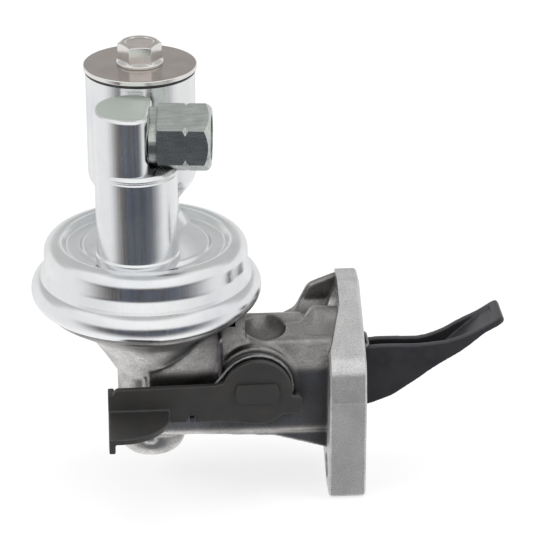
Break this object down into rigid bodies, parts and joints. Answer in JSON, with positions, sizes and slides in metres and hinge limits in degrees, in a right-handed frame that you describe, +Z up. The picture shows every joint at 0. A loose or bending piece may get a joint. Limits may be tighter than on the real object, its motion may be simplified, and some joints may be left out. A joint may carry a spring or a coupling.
{
  "type": "fuel pump",
  "caption": "Mechanical diaphragm fuel pump with strainer canister, side flange, cam rocker arm and hand primer lever.",
  "frame": {"origin": "centre of the two-bolt pattern on the flange's engine face", "axes": "+X out of the engine face, towards the engine; +Z up, along the diaphragm's axis"},
  "size_m": [0.1507, 0.0891, 0.1446],
  "materials": {
    "cast_body": "as cast, machined edges",
    "zinc_steel": "bright zinc plate",
    "bright_lid": "turned nickel",
    "dark_steel": "phosphated and oiled",
    "plain_steel": "satin",
    "spring_steel": "oiled wire",
    "brass_mesh": "satin",
    "black_rubber": "matt"
  },
  "bodies": {
    "pump_body": {"body_casting": "cast_body", "cover_pressing": "zinc_steel", "outlet_tower": "zinc_steel", "outlet_connector": "zinc_steel", "strainer_canister": "zinc_steel", "inlet_connector": "zinc_steel", "strainer_lid": "bright_lid", "lid_bolt": "bright_lid", "centre_post": "plain_steel", "valve_plate": "plain_steel", "seal_retainer": "plain_steel", "rocker_pin": "plain_steel", "pin_plug": "plain_steel", "inlet_valve_cage": "plain_steel", "outlet_valve_cage": "plain_steel", "diaphragm_spring": "spring_steel", "rocker_spring": "spring_steel", "primer_spring": "spring_steel", "inlet_valve_spring": "spring_steel", "outlet_valve_spring": "spring_steel", "strainer_screen": "brass_mesh", "inlet_valve_seat": "brass_mesh", "outlet_valve_seat": "brass_mesh", "lid_gasket": "black_rubber", "divider_seal": "black_rubber", "diaphragm": "black_rubber", "rod_seal": "black_rubber"},
    "rocker": {"rocker_arm": "dark_steel"},
    "link": {"link_lever": "dark_steel"},
    "diaphragm_stack": {"upper_diaphragm_plate": "plain_steel", "lower_diaphragm_plate": "plain_steel", "pull_rod": "plain_steel"},
    "primer": {"primer_lever": "dark_steel", "primer_shaft": "plain_steel", "shaft_seal": "black_rubber"},
    "inlet_flap": {"inlet_valve_disc": "black_rubber"},
    "outlet_flap": {"outlet_valve_disc": "black_rubber"}
  },
  "joints": [
    {"name": "rocker_swing", "type": "hinge", "parent": "pump_body", "child": "rocker", "pos_m": [-0.019, 0, 0.005], "axis": [0, -1, 0], "range_deg": [0, 6.5], "deforming": ["rocker_spring"]},
    {"name": "link_swing", "type": "hinge", "parent": "pump_body", "child": "link", "pos_m": [-0.019, 0, 0.005], "axis": [0, -1, 0], "range_deg": [0, 6.5]},
    {"name": "diaphragm_stroke", "type": "slide", "parent": "pump_body", "child": "diaphragm_stack", "axis": [0, 0, -1], "range_m": [0, 0.0056], "stiffness_N_per_m": 2000, "springref_m": -0.006, "deforming": ["diaphragm_spring", "diaphragm"]},
    {"name": "primer_swing", "type": "hinge", "parent": "pump_body", "child": "primer", "pos_m": [-0.0351, 0, 0.007], "axis": [0, -1, 0], "range_deg": [0, 25], "stiffness_Nm_per_rad": 0.08, "springref_deg": -40.11, "deforming": ["primer_spring"]},
    {"name": "inlet_valve_lift", "type": "slide", "parent": "pump_body", "child": "inlet_flap", "axis": [0, 0, -1], "range_m": [0, 0.0012], "stiffness_N_per_m": 25, "springref_m": -0.0006, "deforming": ["inlet_valve_spring"]},
    {"name": "outlet_valve_lift", "type": "slide", "parent": "pump_body", "child": "outlet_flap", "axis": [0, 0, 1], "range_m": [0, 0.0012], "stiffness_N_per_m": 25, "springref_m": -0.0006, "deforming": ["outlet_valve_spring"]}
  ],
  "couplings": [
    {"joint": "link_swing", "follows": "diaphragm_stroke", "rad_per_m": 20},
    {"joint": "rocker_swing", "follows": "diaphragm_stroke", "rad_per_m": 20}
  ]
}
